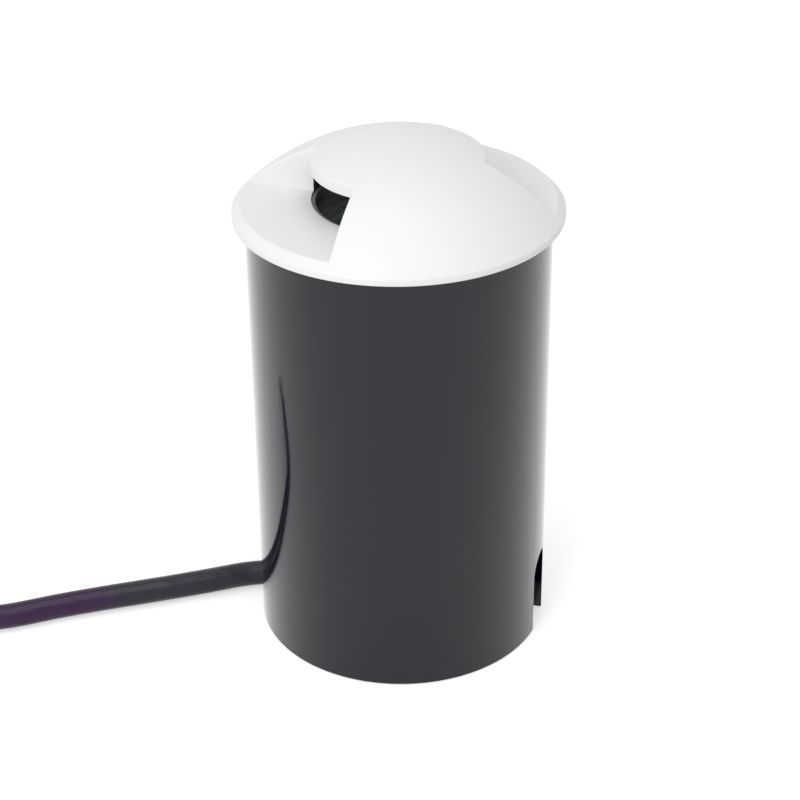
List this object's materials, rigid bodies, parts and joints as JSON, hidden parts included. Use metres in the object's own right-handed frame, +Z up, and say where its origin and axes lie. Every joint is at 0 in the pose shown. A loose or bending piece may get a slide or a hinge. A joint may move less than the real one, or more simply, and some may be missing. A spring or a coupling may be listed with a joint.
{
  "type": "in ground well light",
  "caption": "Round in-ground well light: black ground sleeve with cable slots, white two-way dome cap over a sealed lamp canister, and a short supply lead.",
  "frame": {"origin": "centre of the ground sleeve's foot", "axes": "+Z up along the sleeve's axis; the cap's two windows face +X and -X"},
  "size_m": [0.2314, 0.1502, 0.1584],
  "materials": {
    "black_gloss": "gloss",
    "white_satin": "satin",
    "cast_aluminium": "as cast",
    "pressed_steel": "satin",
    "black_matte": "matte",
    "black_rubber": "matte",
    "grey_rubber": "matte",
    "clear_glass": "polished",
    "grey_plastic": "matte",
    "white_plastic": "matte",
    "ceramic_white": "satin",
    "board_white": "satin",
    "board_green": "satin",
    "led_yellow": "satin",
    "tinned_pin": "satin",
    "brass": "satin",
    "copper": "satin",
    "cable_sheath": "satin",
    "core_sleeve": "satin",
    "lead_white": "matte"
  },
  "bodies": {
    "base": {"block_screw": "pressed_steel", "bracket_screws": "pressed_steel", "cable_end_cores": "core_sleeve", "cable_end_strands": "copper", "cable_inner": "cable_sheath", "canister": "cast_aluminium", "gland_body": "black_matte", "gland_locknut": "black_matte", "gland_nut": "black_matte", "gland_seal": "black_rubber", "gland_washer": "black_rubber", "lamp_base": "white_plastic", "lamp_body": "cast_aluminium", "lamp_carrier": "grey_plastic", "lamp_driver_board": "board_green", "lamp_led_board": "board_white", "lamp_leds": "led_yellow", "lamp_lens": "clear_glass", "lamp_pins": "tinned_pin", "lamp_socket": "ceramic_white", "retaining_clip": "pressed_steel", "sleeve": "black_gloss", "socket_bracket": "pressed_steel", "socket_contacts": "brass", "socket_leads": "lead_white", "socket_screws": "pressed_steel", "supply_cable": "cable_sheath", "supply_cores": "core_sleeve", "terminal_block": "white_plastic", "terminal_screws": "pressed_steel", "terminal_tubes": "brass"},
    "turn_ring": {"aim_ring": "black_matte", "aim_o_ring": "black_rubber"},
    "cap": {"dome_cap": "white_satin", "cap_o_ring": "black_rubber", "lens_gasket": "grey_rubber", "lens_glass": "clear_glass", "lens_ring": "pressed_steel", "lens_screws": "pressed_steel"}
  },
  "joints": [
    {"name": "aim_turn", "type": "hinge", "parent": "base", "child": "turn_ring", "pos_m": [0, 0, 0.1331], "axis": [0, 0, 1], "continuous": true},
    {"name": "cap_lift", "type": "slide", "parent": "turn_ring", "child": "cap", "axis": [0, 0, 1], "range_m": [0, 0.03]}
  ]
}
